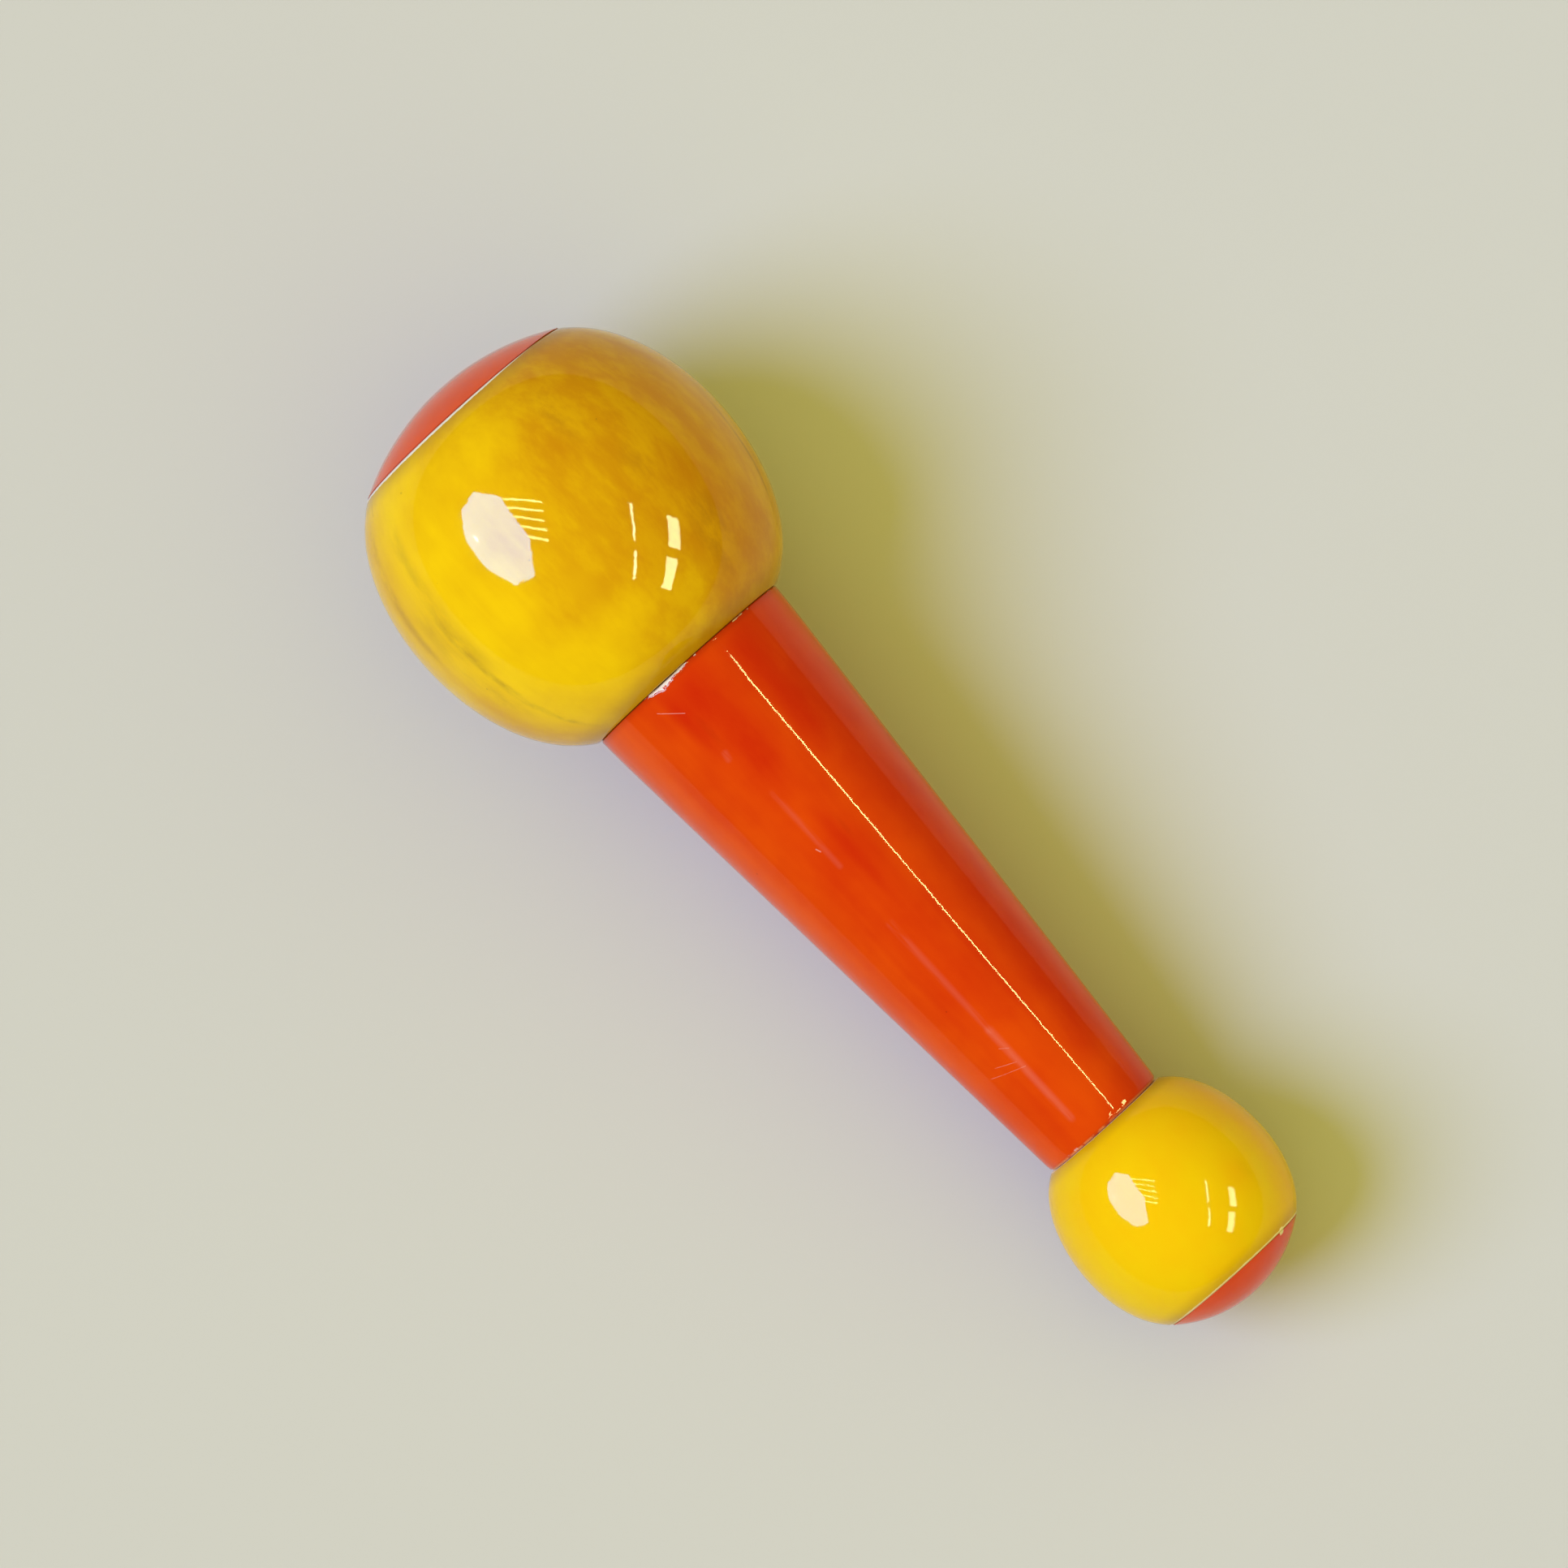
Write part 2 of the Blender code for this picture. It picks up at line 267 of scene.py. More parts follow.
join(grain, smoothStep(grain, patchNoise, *grainLook["patchEdges"]), grainOut["Patches"])
wanderReach = grainLook["wanderReach"]
join(grain, mathNode(grain, 'MULTIPLY_ADD', wanderNoise, 2 * wanderReach, -wanderReach), grainOut["Wander"])

# one band of the wood, along the lathe axis at a bearing; radians and metres
woodBand, bandIn, bandOut = newGroup(
    "woodBand", {"Wander": 0.0, "Patches": 1.0, "Bearing": 0.0, "Half Width": 0.2, "From": -0.02, "To": 0.02,
                 "Fade": 0.006, "Broken": 1.0}, ["Mask"])
bandPlace = separated(woodBand, bandIn["Vector"])
bandBearing = mathNode(woodBand, 'ARCTAN2', bandPlace["Y"], bandPlace["X"])
fromMiddle = mathNode(woodBand, 'MULTIPLY_ADD', bandIn["Wander"], bandIn["Half Width"],
                      mathNode(woodBand, 'SUBTRACT', bandBearing, bandIn["Bearing"]))
acrossBand = smoothStep(woodBand, mathNode(woodBand, 'ABSOLUTE', fromMiddle), bandIn["Half Width"], 0.0)
fadeIn = smoothStep(woodBand, bandPlace["Z"], bandIn["From"],
                    mathNode(woodBand, 'ADD', bandIn["From"], bandIn["Fade"]))
fadeOut = smoothStep(woodBand, bandPlace["Z"], bandIn["To"],
                     mathNode(woodBand, 'SUBTRACT', bandIn["To"], bandIn["Fade"]))
betweenPatches = mathNode(woodBand, 'SUBTRACT', 1.0, bandIn["Patches"])
missing = mathNode(woodBand, 'MULTIPLY', betweenPatches, bandIn["Broken"])
alongBand = mathNode(woodBand, 'MULTIPLY', fadeIn, fadeOut)
patched = mathNode(woodBand, 'MULTIPLY', acrossBand, mathNode(woodBand, 'SUBTRACT', 1.0, missing))
join(woodBand, mathNode(woodBand, 'MULTIPLY', alongBand, patched), bandOut["Mask"])

# a turned edge: the bare wood where the lacquer stops, and beside it a darker rim that is partly lacquer run
# thick against the edge and partly painted shade of the joint
edgeLook = {
    "fineNoise": (900.0, 4.0, 0.7), "wideNoise": (260.0, 3.0, 0.6),
    "wholeShare": 0.55,                           # of the half width, over which the edge doesn't fade
    "lostEdges": (0.47, 0.53), "lostMiddle": 0.5,
    "leastWidth": 0.55, "raggedWidth": 0.9, "softness": 0.00002,
    "leastPoolAndShade": 0.5, "raggedPoolAndShade": 0.8,
}
turnedEdge, edgeIn, edgeOut = newGroup(
    "turnedEdge", {"Place": 0.0, "Width": 0.0003, "Share": 1.0, "Bearing": 0.0, "Half Width": 4.0,
                   "Pool And Shade": 0.002}, ["Bare", "Pooled And Shaded"])
edgePlace = separated(turnedEdge, edgeIn["Vector"])
fromEdge = mathNode(turnedEdge, 'ABSOLUTE', mathNode(turnedEdge, 'SUBTRACT', edgePlace["Z"], edgeIn["Place"]))
fineNoise = noiseNode(turnedEdge, edgeIn["Vector"], *edgeLook["fineNoise"])
wideNoise = noiseNode(turnedEdge, edgeIn["Vector"], *edgeLook["wideNoise"])
edgeBearing = mathNode(turnedEdge, 'ARCTAN2', edgePlace["Y"], edgePlace["X"])
offMiddle = mathNode(turnedEdge, 'ABSOLUTE', mathNode(turnedEdge, 'SUBTRACT', edgeBearing, edgeIn["Bearing"]))
within = smoothStep(turnedEdge, offMiddle, edgeIn["Half Width"],
                    mathNode(turnedEdge, 'MULTIPLY', edgeIn["Half Width"], edgeLook["wholeShare"]))
shareOver = mathNode(turnedEdge, 'SUBTRACT', edgeIn["Share"], edgeLook["lostMiddle"])
lost = smoothStep(turnedEdge, mathNode(turnedEdge, 'ADD', wideNoise, shareOver), *edgeLook["lostEdges"])
ragged = mathNode(turnedEdge, 'MULTIPLY_ADD', fineNoise, edgeLook["raggedWidth"], edgeLook["leastWidth"])
uneven = mathNode(turnedEdge, 'MULTIPLY', ragged, mathNode(turnedEdge, 'MULTIPLY', lost, within))
border = mathNode(turnedEdge, 'MULTIPLY', uneven, edgeIn["Width"])
softBorder = mathNode(turnedEdge, 'ADD', border, edgeLook["softness"])
join(turnedEdge, smoothStep(turnedEdge, fromEdge, softBorder, border), edgeOut["Bare"])
# a darker rim beside the edge: lacquer run thick there, and painted shade of the joint
pooledAndShaded = smoothStep(turnedEdge, fromEdge, edgeIn["Pool And Shade"], 0.0)
poolAndShadeDepth = mathNode(turnedEdge, 'MULTIPLY_ADD', wideNoise, edgeLook["raggedPoolAndShade"], edgeLook["leastPoolAndShade"])
join(turnedEdge, mathNode(turnedEdge, 'MULTIPLY', pooledAndShaded, poolAndShadeDepth), edgeOut["Pooled And Shaded"])

# a straight hairline between two places, each a bearing and a height, on a round of the given radius
hairline, lineIn, lineOut = newGroup(
    "hairline", {"Broken": 1.0, "Radius": 0.015, "From Bearing": 0.0, "From Height": 0.0, "To Bearing": 0.1,
                 "To Height": 0.0, "Width": 0.0001}, ["Mask"])
linePlace = separated(hairline, lineIn["Vector"])


def unrolled(bearing, height):
    flat = addNode(hairline, "ShaderNodeCombineXYZ")
    join(hairline, mathNode(hairline, 'MULTIPLY', bearing, lineIn["Radius"]), flat.inputs["X"])
    join(hairline, height, flat.inputs["Y"])
    return flat.outputs[0]


here = unrolled(mathNode(hairline, 'ARCTAN2', linePlace["Y"], linePlace["X"]), linePlace["Z"])
lineStart = unrolled(lineIn["From Bearing"], lineIn["From Height"])
lineRun = vectorNode(hairline, 'SUBTRACT', unrolled(lineIn["To Bearing"], lineIn["To Height"]), lineStart)
fromStart = vectorNode(hairline, 'SUBTRACT', here, lineStart)
share = mathNode(hairline, 'DIVIDE', vectorNode(hairline, 'DOT_PRODUCT', fromStart, lineRun),
                 vectorNode(hairline, 'DOT_PRODUCT', lineRun, lineRun))
share = mathNode(hairline, 'MINIMUM', mathNode(hairline, 'MAXIMUM', share, 0.0), 1.0)
fromLine = vectorNode(hairline, 'DISTANCE', fromStart, vectorNode(hairline, 'SCALE', lineRun, scale=share))
lineMask = smoothStep(hairline, fromLine, lineIn["Width"], 0.0)
join(hairline, mathNode(hairline, 'MULTIPLY', lineMask, lineIn["Broken"]), lineOut["Mask"])

# what the lathe and the brush leave in the lacquer's surface
rippleLook = {"ringStretch": (60.0, 60.0, 1000.0), "ringNoise": (1.0, 2.0), "ringShare": 0.7,
              "waveNoise": (420.0, 1.0), "fineNoise": (1100.0, 1.0), "fineShare": 0.4}
ripple, rippleIn, rippleOut = newGroup("latheRipple", {}, ["Height"])
ringed = vectorNode(ripple, 'MULTIPLY', rippleIn["Vector"], rippleLook["ringStretch"])
toolRings = noiseNode(ripple, ringed, *rippleLook["ringNoise"])
brushWaves = noiseNode(ripple, rippleIn["Vector"], *rippleLook["waveNoise"])
fineWaves = noiseNode(ripple, rippleIn["Vector"], *rippleLook["fineNoise"])
allWaves = mathNode(ripple, 'MULTIPLY_ADD', fineWaves, rippleLook["fineShare"], brushWaves)
rippleHeight = mathNode(ripple, 'MULTIPLY_ADD', toolRings, rippleLook["ringShare"], allWaves)
join(ripple, rippleHeight, rippleOut["Height"])

# pores and dust specks
speckLook = {"cell": 320.0, "share": 0.12, "edges": (0.05, 0.025)}
specks, speckIn, speckOut = newGroup(
    "specks", {"Cell": speckLook["cell"], "Share": speckLook["share"]}, ["Mask"])
cells = addNode(specks, "ShaderNodeTexVoronoi")
join(specks, speckIn["Vector"], cells.inputs["Vector"])
join(specks, speckIn["Cell"], cells.inputs["Scale"])
chosen = addNode(specks, "ShaderNodeSeparateColor")
join(specks, cells.outputs["Color"], chosen.inputs[0])
few = mathNode(specks, 'LESS_THAN', chosen.outputs[0], speckIn["Share"])
dot = smoothStep(specks, cells.outputs["Distance"], *speckLook["edges"])
join(specks, mathNode(specks, 'MULTIPLY', few, dot), speckOut["Mask"])
print("node groups made:", len(bpy.data.node_groups))

# yellow and orange-red lacquer: colours are linear, places are bearings in degrees and heights in millimetres
# edges: height, bare width, share bare, bearing, half width, reach of the darker rim of thick lacquer and
# painted shade
# bands: bearing, half width, from, to, strength
# hairlines: bearing, height, bearing, height, width, strength, colour
largeYellow = {
    "bright": (0.886, 0.57, 0.002), "deep": (0.53, 0.19, 0.002), "smoke": (0.30, 0.14, 0.008),
    "bare": (0.88, 0.80, 0.62), "gloss": 0.15, "glossTint": (1.0, 1.0, 1.0),
    "mottle": 0.16, "streaks": 0.17, "fibres": 0.12, "poolAndShade": 0.5, "broken": 0.38,
    "edges": [(21.5, 0.30, 0.9, -75, 135, 2.4), (-22.7, 0.0, 0.0, 0, 229, 3.2)],
    "deepBands": [(38, 84, -30, 27, 0.84), (60, 50, -28, 26, 0.29), (2, 36, -14, 8, 0.43),
                  (22, 16, 4, 24, 0.15), (44, 24, -24, 2, 0.50), (-72, 24, -24, 22, 0.28),
                  (-74, 24, -27, -4, 0.35)],
    "smokeBands": [(-52.5, 2.4, -23, 6, 0.55), (-50, 5, -9, 19, 0.3), (-58, 7, -16, 8, 0.25),
                   (-67, 4, -4, 20, 0.4), (74, 1.8, -18, 3, 0.6), (36, 9, -20, -6, 0.42),
                   (30, 8, -4, 5, 0.34), (22, 6, 6, 18, 0.35), (118, 8, -16, 12, 0.3),
                   (-131, 6, -20, 10, 0.32), (170, 12, -14, 18, 0.3)],
    "hairlines": [(-66, 20.6, -63, 18.9, 0.11, 0.8, "smoke"), (-39.3, 18.3, -38.7, 18.2, 0.2, 0.8, "smoke")],
}
smallYellow = {
    "bright": (0.81, 0.53, 0.002), "deep": (0.82, 0.33, 0.002), "smoke": (0.38, 0.18, 0.008),
    "bare": (0.95, 0.80, 0.50), "gloss": 0.105, "glossTint": (1.0, 1.0, 1.0),
    "mottle": 0.22, "streaks": 0.12, "fibres": 0.12, "poolAndShade": 0.5, "broken": 0.3,
    "edges": [(-11.6, 0.22, 0.95, 0, 229, 2.2), (-11.6, 0.35, 1.0, 46, 3, 0.0),
              (13.85, 0.05, 0.35, 0, 229, 1.6)],
    "deepBands": [(34, 14, -8, 3, 0.3), (30, 44, 2, 18, 0.4), (68, 28, -14, 18, 0.4)],
    "smokeBands": [(40, 6, -6, 1, 0.25), (95, 8, -9, 8, 0.3), (-140, 9, -8, 10, 0.3)],
}
handleRed = {
    "bright": (0.68, 0.064, 0.001), "deep": (0.51, 0.009, 0.001), "smoke": (0.24, 0.008, 0.001),
    # the colour after it is worn lacquer with a painted highlight along the small arris
    # the pale colour below paints a sheen down the handle's sides
    "pale": (0.82, 0.10, 0.001), "rubbedAndHighlight": (0.90, 0.40, 0.14),
    "bare": (0.86, 0.70, 0.66), "gloss": 0.21, "glossTint": (1.0, 0.95, 0.62),
    "mottle": 0.34, "streaks": 0.34, "fibres": 0.12, "poolAndShade": 0.35, "broken": 0.3,
    "edges": [(0.24, 0.10, 0.4, 20, 170, 1.2), (-81.58, 0.0, 0.0, 0, 229, 0.7)],
    "deepBands": [(-6, 26, -64, -26, 0.35), (-6, 22, -22, 2, 0.72), (-20, 8, -14, 2, 0.6),
                  (-32, 7, -9, 2, 0.3), (-22, 9, -60, -28, 0.25), (42, 30, -76, 2, 0.48),
                  (26, 16, -22, 2, 0.62), (-48, 7, -60, -8, 0.25), (-2, 6, -42, -22, 0.4),
                  (14, 5, -70, -40, 0.3), (-30, 5, -64, -30, 0.25), (150, 14, -78, -4, 0.4),
                  (-120, 12, -70, -10, 0.4)],
    # painted sheen: lighter bands down both sides of the handle
    "paintedSheenBands": [(-58, 30, -95, 14, 0.3), (70, 20, -95, 14, 0.25)],
    "smokeBands": [(-15, 3, -13, -5, 0.35), (4, 2.5, -33, -26, 0.3), (100, 4, -60, -20, 0.3)],
    "hairlines": [(-29, -2.3, -18, -4.7, 0.08, 0.3, "bare"), (-43, -66.9, -14, -68.6, 0.08, 0.16, "bare"),
                  (-33, -66.2, -17, -67.4, 0.08, 0.16, "bare"), (-20, -64.6, -14, -65.4, 0.08, 0.14, "bare"),
                  # the broad faint lines below, 0.6 mm wide and more, are a painted reflection streak in the
                  # bare-wood colour
                  (-15, -43.0, -15.5, -62.0, 0.8, 0.035, "bare"),
                  (-15.5, -62.0, -16, -77.5, 1.0, 0.06, "bare"),
                  (-17, -29.3, -16, -29.9, 0.14, 0.3, "bare"), (-17, -12.0, -18, -13.0, 0.6, 0.035, "bare"),
                  # on the small arris, upper half only: worn lacquer with a painted highlight along it
                  (-13, -20, -13.5, -33, 0.6, 0.03, "bare"), (-88, -81.4, -2, -81.4, 0.3, 0.7, "rubbedAndHighlight"),
                  (-2, -81.4, 88, -81.4, 0.28, 0.5, "rubbedAndHighlight"), (-34, -81.2, -31, -81.2, 0.22, 0.6, "bare"),
                  (-44, -81.2, -42, -81.2, 0.2, 0.6, "bare")],
}
capRed = {
    "bright": (0.77, 0.066, 0.002), "deep": (0.58, 0.029, 0.001), "smoke": (0.24, 0.010, 0.001),
    "bare": (0.86, 0.74, 0.62), "gloss": 0.19, "glossTint": (1.0, 0.95, 0.62),
    "mottle": 0.28, "streaks": 0.2, "fibres": 0.12, "poolAndShade": 0.6, "broken": 0.3,
}
largeCapRed = {**capRed, "edges": [(21.52, 0.0, 0.0, 0, 229, 0.3)]}
smallCapRed = {**capRed, "edges": [(-11.62, 0.0, 0.0, 0, 229, 0.2), (-11.62, 0.36, 1.0, 46.5, 3, 0.0)]}

# what all the lacquer has in common
lacquer = {
    "smokeBroken": 1.0, "speckStrength": 0.5, "lineBreaks": (0.3, 0.5),
    "chipNoise": (2600.0, 3.0, 0.7), "chipRagged": 0.8, "chipLeast": 0.6, "chipEdges": (0.4, 0.5),
    "rawFibres": 0.5, "rawShade": 0.7,
    "roughness": 0.025, "patchRoughness": 0.02, "bareRoughness": 0.65,
    "bump": {"Strength": 0.6, "Distance": 0.00001},
}


def tint(tree, mask, strength, colour, towards):
    return mixColour(tree, mathNode(tree, 'MULTIPLY', mask, strength), colour, towards)


def layBands(tree, place, wood, colour, bands, bandColour, howBroken):
    for bearing, halfWidth, fromHeight, toHeight, strength in bands:
        band = useGroup(tree, woodBand, place, **{
            "Wander": wood["Wander"], "Patches": wood["Patches"], "Broken": howBroken,
            "Bearing": math.radians(bearing), "Half Width": math.radians(halfWidth),
            "From": fromHeight * mm, "To": toHeight * mm})
        colour = tint(tree, band["Mask"], strength, colour, bandColour)
    return colour


def drawHairlines(tree, place, wood, colour, look, radius):
    broken = smoothStep(tree, wood["Fibres"], *lacquer["lineBreaks"])
    for bearing, height, toBearing, toHeight, width, strength, kind in look.get("hairlines", []):
        line = useGroup(tree, hairline, place, **{
            "Broken": broken, "Radius": radius * mm, "From Bearing": math.radians(bearing),
            "From Height": height * mm, "To Bearing": math.radians(toBearing), "To Height": toHeight * mm,
            "Width": width * mm})
        colour = tint(tree, line["Mask"], strength, colour, look[kind])
    return colour


def lacquerMaterial(name, look, radius):
    material = bpy.data.materials.new(name)
    material.use_nodes = True
    tree = material.node_tree
    shader = tree.nodes["Principled BSDF"]
    place = addNode(tree, "ShaderNodeTexCoord").outputs["Object"]
    wood = useGroup(tree, grain, place)
    colour = tint(tree, wood["Mottle"], look["mottle"], look["bright"], look["deep"])
    colour = layBands(tree, place, wood, colour, look.get("deepBands", []), look["deep"], look["broken"])
    # painted sheen down both sides of the handle
    colour = layBands(tree, place, wood, colour, look.get("paintedSheenBands", []), look.get("pale"), look["broken"])
    colour = tint(tree, wood["Streaks"], look["streaks"], colour, look["deep"])
    colour = tint(tree, wood["Fibres"], look["fibres"], colour, look["deep"])
    colour = layBands(tree, place, wood, colour, look.get("smokeBands", []), look["smoke"],
                      lacquer["smokeBroken"])
    dots = useGroup(tree, specks, place)["Mask"]
    colour = tint(tree, dots, lacquer["speckStrength"], colour, look["smoke"])
    colour = drawHairlines(tree, place, wood, colour, look, radius)

    # bare wood: at the turned edges, and where the lacquer has chipped off
    chipped = addNode(tree, "ShaderNodeAttribute", attribute_name="bareWood").outputs["Fac"]
    chipNoise = noiseNode(tree, place, *lacquer["chipNoise"])
    chipBorder = mathNode(tree, 'MULTIPLY_ADD', chipNoise, lacquer["chipRagged"], lacquer["chipLeast"])
    bare = smoothStep(tree, mathNode(tree, 'MULTIPLY', chipped, chipBorder), *lacquer["chipEdges"])
    for height, width, bareShare, bearing, halfWidth, poolAndShade in look["edges"]:
        edge = useGroup(tree, turnedEdge, place, **{
            "Place": height * mm, "Width": width * mm, "Share": bareShare, "Bearing": math.radians(bearing),
            "Half Width": math.radians(halfWidth), "Pool And Shade": poolAndShade * mm})
        # darker beside the seams and joints: thick lacquer and painted shade
        colour = tint(tree, edge["Pooled And Shaded"], look["poolAndShade"], colour, look["smoke"])
        if width:
            bare = mathNode(tree, 'MAXIMUM', bare, edge["Bare"])
    shadedWood = tuple(lacquer["rawShade"] * value for value in look["bare"])
    rawWood = tint(tree, wood["Fibres"], lacquer["rawFibres"], look["bare"], shadedWood)
    join(tree, mixColour(tree, bare, colour, rawWood), shader.inputs["Base Color"])

    dull = mathNode(tree, 'MULTIPLY_ADD', wood["Patches"], lacquer["patchRoughness"], lacquer["roughness"])
    dull = mathNode(tree, 'MULTIPLY_ADD', bare, lacquer["bareRoughness"], dull)
    join(tree, dull, shader.inputs["Roughness"])
    shader.inputs["Specular IOR Level"].default_value = look["gloss"]
    shader.inputs["Specular Tint"].default_value = (*look["glossTint"], 1)
    bump = addNode(tree, "ShaderNodeBump", lacquer["bump"])
    join(tree, useGroup(tree, ripple, place)["Height"], bump.inputs["Height"])
    join(tree, bump.outputs["Normal"], shader.inputs["Normal"])
    return material


# balls: hollow, with a mouth that the cap's spigot plugs and a socket for the handle's tenon
largeBall = {
    "radius": 26.1, "seam": 21.5, "rim": 17.0, "rimWidth": 4.0, "neck": 5.0, "capRise": 4.3, "seat": 22.7,
    "seatRadius": 15.75, "wall": 6.5, "tenon": 6.5, "tenonLength": 6.5, "capSide": 1, "sides": 256,
}
smallBall = {
    "radius": 15.4, "seam": 11.6, "rim": 11.0, "rimWidth": 3.5, "neck": 3.5, "capRise": 3.7, "seat": 13.85,
    "seatRadius": 9.5, "wall": 4.6, "tenon": 4.5, "tenonLength": 5.0, "capSide": -1, "sides": 192,
}
largeBall["place"] = fits["glueGap"] + largeBall["seat"]
smallBall["place"] = -(handleLength + fits["glueGap"] + smallBall["seat"])


def shellProfile(ball):
    widest = ball["radius"] - ball["wall"]
    mouth = ball["rim"] - ball["rimWidth"]
    foot = ball["seam"] - ball["neck"]
    roof = ball["tenonLength"] + fits["glueGap"] - ball["seat"]
    base = roof + fits["socketFloor"]
    socket = ball["tenon"] + fits["glueGap"]
    chamber = fullRound(widest, closingHeight(widest, mouth, foot), -base, foot, base, roundSteps["chamber"])
    chamber[-1] = (0, base)
    rimEdge, seatEdge = fits["brokenEdge"], fits["seatEdge"]
    rimIn, rimDown = (rimEdge * share for share in fits["rimEasing"])
    seatEase = seatEdge * fits["easing"]
    outside = fullRound(ball["radius"], closingHeight(ball["radius"], ball["rim"], ball["seam"]),
                        closingHeight(ball["radius"], ball["seatRadius"], ball["seat"]),
                        ball["seam"] - rimEdge, seatEdge - ball["seat"], roundSteps["outside"])
    profile = chamber[::-1]
    profile += [(mouth, ball["seam"] - fits["leadIn"]), (mouth + fits["leadIn"], ball["seam"])]
    profile += [(ball["rim"] - rimEdge, ball["seam"]), (ball["rim"] - rimIn, ball["seam"] - rimDown)]
    profile += outside
    profile += [(ball["seatRadius"] - seatEase, seatEase - ball["seat"])]
    profile += [(ball["seatRadius"] - seatEdge, -ball["seat"])]
    profile += [(socket + fits["leadIn"], -ball["seat"]), (socket, fits["leadIn"] - ball["seat"])]
    return profile + [(socket, roof), (0, roof)]


def capProfile(ball):
    ease = fits["capEdge"] * fits["easing"]
    edge = ball["rim"] - fits["capEdge"]
    under = ball["seam"] + fits["seamGap"]
    tip = ball["seam"] + fits["glueGap"] + ball["capRise"]
    rise = tip - (under + fits["capEdge"])
    sphere = (edge ** 2 + rise ** 2) / (2 * rise)
    halfAngle = math.asin(edge / sphere)
    spigot = ball["rim"] - ball["rimWidth"] - fits["glueGap"]
    end = ball["seam"] - ball["neck"] + fits["glueGap"]
    profile = []
    for step in range(roundSteps["cap"] + 1):
        angle = halfAngle * step / roundSteps["cap"]
        profile.append((sphere * math.sin(angle), tip - sphere * (1 - math.cos(angle))))
    profile += [(edge - ease, under + ease), (edge - fits["capEdge"], under), (spigot, under)]
    return profile + [(spigot, end + fits["leadIn"]), (spigot - fits["leadIn"], end), (0, end)]


def dress(piece, body, node, material):
    piece.data.materials.append(material)
    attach(piece, body)
    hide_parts(node)


shells = []
for size, ball, yellow, red in (("large", largeBall, largeYellow, largeCapRed),
                                ("small", smallBall, smallYellow, smallCapRed)):
    shell = turnOnLathe(f"{size}BallShell", shellProfile(ball), ball["sides"], ball["place"], ball["capSide"])
    dress(shell, "rattle", f"{size}_ball_shell",
          lacquerMaterial(f"{size}YellowLacquer", yellow, ball["radius"]))
    shells.append(shell)
    cap = turnOnLathe(f"{size}BallCap", capProfile(ball), ball["sides"], ball["place"], ball["capSide"])
    dress(cap, "rattle", f"{size}_ball_cap",
          lacquerMaterial(f"{size}CapLacquer", red, ball["rim"]))
print("balls and caps turned")

# handle: a straight taper with a tenon at each end; its large arris has lost lacquer
handle = {
    "largeRadius": 15.5, "smallRadius": 9.25, "largeRound": 0.25, "smallRound": 0.8, "sides": 480,
    "shoulderRing": 0.8,                          # on the end face, this far in from the large radius
    "sandedLength": 6, "sandedDepth": 0.1,
    # rings along the handle: where they start, how far apart, how many
    "rings": {
        "chipStep": 0.1, "chipRings": 12, "sandedFrom": 1.5, "sandedStep": 0.5, "sandedRings": 12,
        "taperFrom": 8, "taperClear": 3, "taperRings": 28, "endStep": 0.2, "endRings": 5,
    },
    # one long chip, deepest at a bearing, and flecks on from it; bearings in degrees
    "chips": {
        "from": -27, "to": 1, "deepest": -18, "reach": 0.75, "depth": 0.16, "drop": 0.6, "zone": 1.2,
        "tenonClear": 1, "curve": 0.7, "ragged": 0.7, "raggedScale": 1.6, "soft": 0.14, "leastReach": 0.02,
        "raggedNoise": (0.7, 2.0, 4),             # dimension, lacunarity, octaves
        "flecksTo": 74, "fleckReach": 0.42, "fleckScale": 1.1, "fleckGain": 1.6, "fleckLoss": 0.25,
    },
}
handleTop = fits["glueGap"] - fits["shoulderGap"]
handleBottom = -(handleLength + fits["glueGap"] - fits["seamGap"])
handleTaper = (handle["largeRadius"] - handle["smallRadius"]) / handleLength


def handleRadius(height):
    sanded = max(0, 1 + height / handle["sandedLength"])
    return handle["largeRadius"] + handleTaper * height - handle["sandedDepth"] * sanded ** 2


def handleHeights():
    rings = handle["rings"]
    taperLength = handleLength - rings["taperFrom"] - rings["taperClear"]
    top = handleTop - handle["largeRound"]
    end = handleBottom + handle["smallRound"]
    heights = [top - rings["chipStep"] * step for step in range(1, rings["chipRings"] + 1)]
    heights += [-rings["sandedFrom"] - rings["sandedStep"] * step for step in range(rings["sandedRings"])]
    heights += [-rings["taperFrom"] - taperLength * step / rings["taperRings"]
                for step in range(rings["taperRings"] + 1)]
    return heights + [end + rings["endStep"] * step for step in range(rings["endRings"], 0, -1)]


def handleProfile():
    lead = fits["leadIn"]
    topEnd = fits["glueGap"] + largeBall["tenonLength"]
    bottomEnd = -(handleLength + fits["glueGap"] + smallBall["tenonLength"])
    profile = [(0, topEnd), (largeBall["tenon"] - lead, topEnd), (largeBall["tenon"], topEnd - lead)]
    profile += [(largeBall["tenon"], handleTop), (handle["largeRadius"] - handle["shoulderRing"], handleTop)]
    profile += roundedCorner(handleRadius(handleTop), handleTop, handle["largeRound"], True,
                             roundSteps["largeArris"])
    profile += [(handleRadius(height), height) for height in handleHeights()]
    profile += roundedCorner(handle["smallRadius"], handleBottom, handle["smallRound"], False,
                             roundSteps["smallArris"])
    profile += [(smallBall["tenon"], handleBottom), (smallBall["tenon"], bottomEnd + lead)]
    return profile + [(smallBall["tenon"] - lead, bottomEnd), (0, bottomEnd)]


